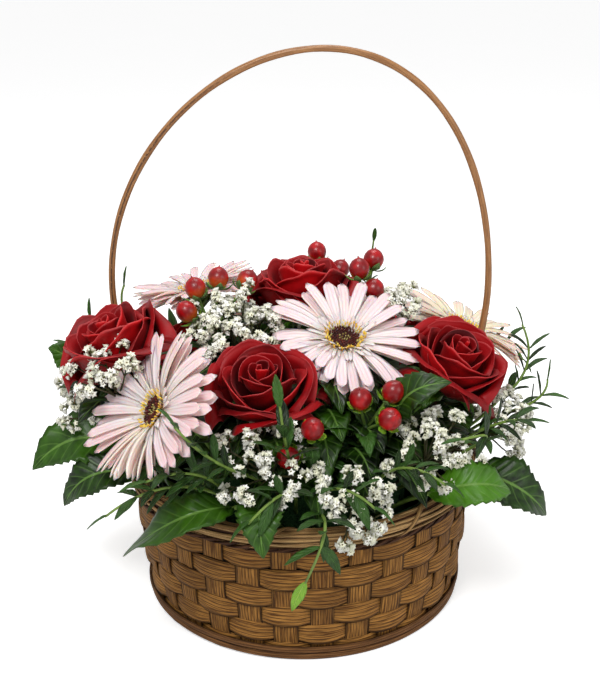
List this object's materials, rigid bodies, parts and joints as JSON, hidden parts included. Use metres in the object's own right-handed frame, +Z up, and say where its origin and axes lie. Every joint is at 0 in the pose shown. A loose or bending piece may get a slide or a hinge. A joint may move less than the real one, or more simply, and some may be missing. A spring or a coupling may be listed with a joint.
{
  "type": "flower basket arrangement",
  "caption": "Low domed arrangement of red roses, pale pink gerberas, hypericum berries, statice and green leaves in a round woven bamboo basket with a tall arched cane handle.",
  "frame": {"origin": "middle of the flat underside of the basket's floor", "axes": "+Z up through the basket and its handle, which stands in the XZ plane; -Y is the front that the flowers face; +X is to the right seen from the front"},
  "size_m": [0.3383, 0.3209, 0.3513],
  "materials": {
    "bamboo": "stained bamboo strip, satin, fine lengthwise grain, dark in the gaps",
    "straw": "pale bamboo split, dry and matte, with dark brown edges",
    "cane": "split cane, satin, orange tan with long dark streaks",
    "liner_plastic": "dark green thin plastic",
    "floral_foam": "dark green wet foam, fine open cells",
    "rose_petals": "velvety deep red petals, lighter at the edges, on green stems",
    "gerbera_petals": "pale pink ribbed petals round a dark maroon and yellow disc, on green stems",
    "berries": "glossy red berry skin with green sepals and twigs",
    "statice_florets": "papery cream florets on thin dark stems",
    "broad_leaves": "leathery green leaf, satin, with paler veins",
    "narrow_leaves": "dull green narrow leaves on light green stems"
  },
  "bodies": {
    "root": {"woven_wall": "bamboo", "basket_floor": "bamboo", "base_band": "bamboo", "rim_bundle": "straw", "rim_lashing_front": "straw", "rim_lashing_back": "straw", "handle": "cane", "handle_binding_left": "cane", "handle_binding_right": "cane", "liner": "liner_plastic", "floral_foam": "floral_foam", "rose_front": "rose_petals", "rose_left": "rose_petals", "rose_right": "rose_petals", "rose_top": "rose_petals", "rose_upper_right": "rose_petals", "rose_back_right": "rose_petals", "rose_back_left": "rose_petals", "gerbera_front_left": "gerbera_petals", "gerbera_centre": "gerbera_petals", "gerbera_right": "gerbera_petals", "gerbera_top_left": "gerbera_petals", "gerbera_back": "gerbera_petals", "hypericum_left": "berries", "hypericum_top": "berries", "hypericum_front_right": "berries", "hypericum_front": "berries", "hypericum_back": "berries", "hypericum_back_right": "berries", "statice_upper_left": "statice_florets", "statice_left": "statice_florets", "statice_far_left": "statice_florets", "statice_front_left": "statice_florets", "statice_front": "statice_florets", "statice_right": "statice_florets", "statice_far_right": "statice_florets", "statice_top_right": "statice_florets", "statice_back_left": "statice_florets", "statice_back": "statice_florets", "statice_back_right": "statice_florets", "leaf_left": "broad_leaves", "leaf_left_low": "broad_leaves", "leaf_front_left": "broad_leaves", "leaf_front": "broad_leaves", "leaf_right": "broad_leaves", "leaf_far_right": "broad_leaves", "leaf_upper_left": "broad_leaves", "leaf_inner_right": "broad_leaves", "leaf_back_left": "broad_leaves", "leaf_back": "broad_leaves", "leaf_back_right": "broad_leaves", "sprig_left": "narrow_leaves", "sprig_front": "narrow_leaves", "sprig_right": "narrow_leaves", "sprig_upper_left": "narrow_leaves", "sprig_top": "narrow_leaves", "sprig_far_right": "narrow_leaves", "sprig_back_left": "narrow_leaves", "sprig_back": "narrow_leaves", "sprig_back_right": "narrow_leaves"}
  },
  "joints": []
}
